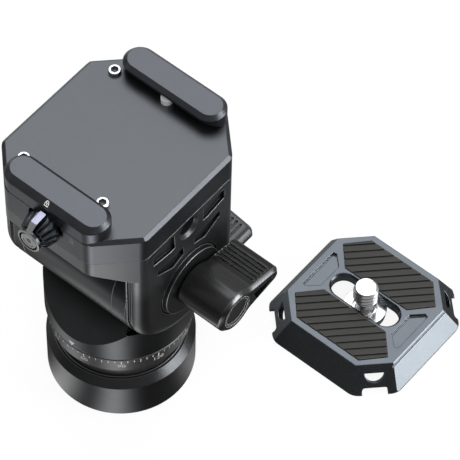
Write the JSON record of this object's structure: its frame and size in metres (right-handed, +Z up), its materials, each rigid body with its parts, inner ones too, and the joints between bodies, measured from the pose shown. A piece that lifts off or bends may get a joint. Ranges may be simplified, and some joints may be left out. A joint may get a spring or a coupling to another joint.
{
  "type": "fluid video head",
  "caption": "Compact pan and tilt head for a camera, with a lever clamp on top, lock knobs, a degree ring and a separate quick-release plate with a screw.",
  "frame": {"origin": "centre of the base's underside, on the pan axis and the tripod thread", "axes": "+Z up along the pan axis; +X along the tilt axis to the tilt lock knob; -Y to the front, where the clamp lever is"},
  "size_m": [0.0813, 0.098, 0.09],
  "materials": {
    "body_grey": "bead-blasted anodised grey",
    "body_black": "satin black anodised",
    "ring_grey": "satin anodised",
    "knob_black": "satin moulded",
    "knob_trim": "smooth moulded",
    "lever_black": "satin black",
    "plate_black": "satin anodised",
    "rubber": "ribbed rubber",
    "seal_rubber": "moulded",
    "steel": "bright turned",
    "shaft_steel": "ground",
    "bronze": "turned",
    "drag_polymer": "machined"
  },
  "bodies": {
    "base": {"base_body": "body_black", "thread_insert": "shaft_steel", "scale_ring": "ring_grey", "pan_drag_ring": "drag_polymer", "pan_shaft": "shaft_steel", "shaft_screws": "steel", "thrust_washer": "drag_polymer", "pan_spring_washer": "shaft_steel", "pan_nut": "shaft_steel"},
    "pan": {"pan_body": "body_black", "pan_bush": "bronze", "tilt_bushes": "bronze", "drum_seals": "seal_rubber", "drag_stator": "shaft_steel", "drum_cover": "body_black", "drum_cover_screws": "steel", "pan_brake_shoe": "drag_polymer"},
    "pan_lock": {"pan_knob": "knob_black", "pan_knob_cap": "knob_trim", "pan_knob_stud": "shaft_steel"},
    "tilt": {"tilt_body": "body_grey", "tilt_axle": "shaft_steel", "drag_rotor": "shaft_steel", "axle_cap": "body_black", "knob_washer": "body_black", "clamp_housing": "body_grey", "seat_screws": "steel", "rear_jaw": "body_grey", "rear_jaw_screws": "steel", "jaw_springs": "steel", "trigger_spring": "steel"},
    "tilt_lock": {"tilt_knob": "knob_black", "tilt_knob_cap": "knob_trim", "tilt_knob_stud": "shaft_steel"},
    "jaw": {"front_jaw": "body_grey", "jaw_guide_pins": "steel"},
    "lever": {"lock_lever": "lever_black", "lever_screw": "steel", "lever_shaft": "shaft_steel"},
    "trigger": {"trigger_pin": "steel"},
    "plate": {"plate_body": "plate_black", "plate_pads": "rubber"},
    "screw_slider": {"screw_washer": "steel"},
    "screw": {"camera_screw": "steel"}
  },
  "joints": [
    {"name": "pan_turn", "type": "hinge", "parent": "base", "child": "pan", "pos_m": [0, 0, 0], "axis": [0, 0, 1], "continuous": true},
    {"name": "tilt_turn", "type": "hinge", "parent": "pan", "child": "tilt", "pos_m": [0, 0, 0.0534], "axis": [1, 0, 0], "range_deg": [-45, 88]},
    {"name": "pan_lock_turn", "type": "hinge", "parent": "pan", "child": "pan_lock", "pos_m": [0, 0.019, 0.031], "axis": [0, 1, 0], "range_deg": [-170, 90]},
    {"name": "tilt_lock_turn", "type": "hinge", "parent": "tilt", "child": "tilt_lock", "pos_m": [0.0228, 0, 0.0534], "axis": [1, 0, 0], "range_deg": [-170, 90]},
    {"name": "lever_turn", "type": "hinge", "parent": "jaw", "child": "lever", "pos_m": [0, -0.0249, 0.082], "axis": [0, 1, 0], "range_deg": [0, 90]},
    {"name": "jaw_slide", "type": "slide", "parent": "tilt", "child": "jaw", "axis": [0, -1, 0], "range_m": [0, 0.006]},
    {"name": "trigger_press", "type": "slide", "parent": "tilt", "child": "trigger", "axis": [0, 0, -1], "range_m": [0, 0.0012], "stiffness_N_per_m": 400},
    {"name": "plate_lift", "type": "slide", "parent": "base", "child": "plate", "axis": [0, 0, 1], "range_m": [0, 0.15]},
    {"name": "screw_shift", "type": "slide", "parent": "plate", "child": "screw_slider", "axis": [1, 0, 0], "range_m": [-0.0062, 0.0062]},
    {"name": "screw_turn", "type": "hinge", "parent": "screw_slider", "child": "screw", "pos_m": [0.0394, 0.0472, 0], "axis": [0, 0, 1], "continuous": true}
  ],
  "couplings": [
    {"joint": "lever_turn", "follows": "jaw_slide", "rad_per_m": 261.8}
  ]
}
